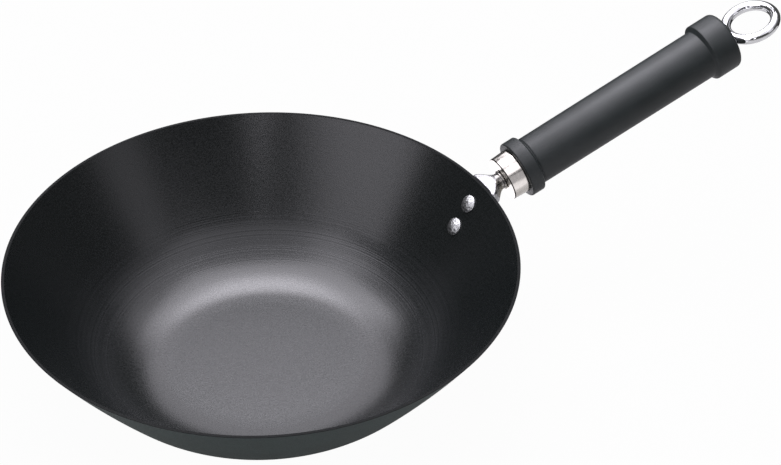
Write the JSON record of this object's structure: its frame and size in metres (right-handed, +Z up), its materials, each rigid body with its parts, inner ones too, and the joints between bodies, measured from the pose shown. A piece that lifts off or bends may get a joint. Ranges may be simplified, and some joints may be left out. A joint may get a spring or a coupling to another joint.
{
  "type": "wok",
  "caption": "Flat-based steel wok with a flared wall and one long rising handle: riveted bracket, metal ferrule, black moulded grip with end collars, and a hanging ring on a through bolt",
  "frame": {"origin": "centre of the flat underside of the bowl", "axes": "+X runs towards the handle, +Y to the left of the handle seen from the bowl, +Z up"},
  "size_m": [0.5115, 0.3, 0.143],
  "materials": {
    "coated_steel": "charcoal non-stick coat with fine turned lines and specks, satin",
    "plated_steel": "bright plating over pressed steel",
    "rivet_metal": "bright domed heads, lightly brushed",
    "ferrule_metal": "polished, slightly warm",
    "grip_moulding": "satin black moulding with a fine grain",
    "washer_steel": "zinc-plated",
    "ring_chrome": "mirror-bright chrome"
  },
  "bodies": {
    "wok": {"wok_body": "coated_steel", "handle_bracket": "plated_steel", "upper_rivet": "rivet_metal", "lower_rivet": "rivet_metal", "ferrule": "ferrule_metal", "handle_grip": "grip_moulding", "end_washer": "washer_steel", "lock_washer": "washer_steel"},
    "ring": {"hanging_ring_bolt": "ring_chrome"}
  },
  "joints": [
    {"name": "ring_turn", "type": "hinge", "parent": "wok", "child": "ring", "pos_m": [0.15, 0, 0.0723], "axis": [0.9558, 0, 0.294], "continuous": true}
  ]
}
